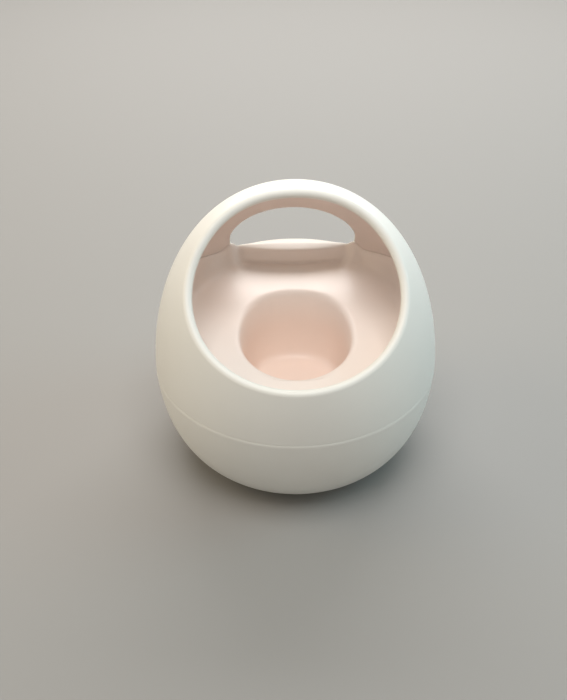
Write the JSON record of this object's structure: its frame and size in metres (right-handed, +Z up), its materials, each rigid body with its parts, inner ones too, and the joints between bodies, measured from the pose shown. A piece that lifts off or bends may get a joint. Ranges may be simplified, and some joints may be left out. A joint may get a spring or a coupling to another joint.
{
  "type": "potty training chair",
  "caption": "Egg-shaped toddler potty chair: lift-off hooded shell with an oblique opening and a carrying hole, over a removable tray with a deep oval bowl.",
  "frame": {"origin": "centre of the footprint, on the floor under the four rubber feet", "axes": "+Z up, the sitter faces -Y so the opening is towards -Y and the carrying hole towards +Y, +X is to the sitter's left"},
  "size_m": [0.32, 0.32, 0.3209],
  "materials": {
    "shell_white": "smooth satin white moulded plastic",
    "liner_pink": "smooth satin pale pink moulded plastic",
    "cone_white": "plain moulded plastic",
    "screw_steel": "plain steel",
    "foot_rubber": "matt rubber"
  },
  "bodies": {
    "base": {"base_shell": "shell_white", "support_cone": "cone_white", "base_screw_1": "screw_steel", "base_screw_2": "screw_steel", "base_screw_3": "screw_steel", "base_screw_4": "screw_steel", "rubber_foot_1": "foot_rubber", "rubber_foot_2": "foot_rubber", "rubber_foot_3": "foot_rubber", "rubber_foot_4": "foot_rubber"},
    "upper": {"upper_shell": "shell_white", "hood_lining": "liner_pink"},
    "tray": {"potty_insert": "liner_pink"}
  },
  "joints": [
    {"name": "upper_lift", "type": "slide", "parent": "base", "child": "upper", "axis": [0, 0, 1], "range_m": [0, 0.3]},
    {"name": "insert_lift", "type": "slide", "parent": "base", "child": "tray", "axis": [0, 0, 1], "range_m": [0, 0.1]}
  ],
  "couplings": [
    {"joint": "insert_lift", "follows": "upper_lift", "ratio": 0.3333}
  ]
}
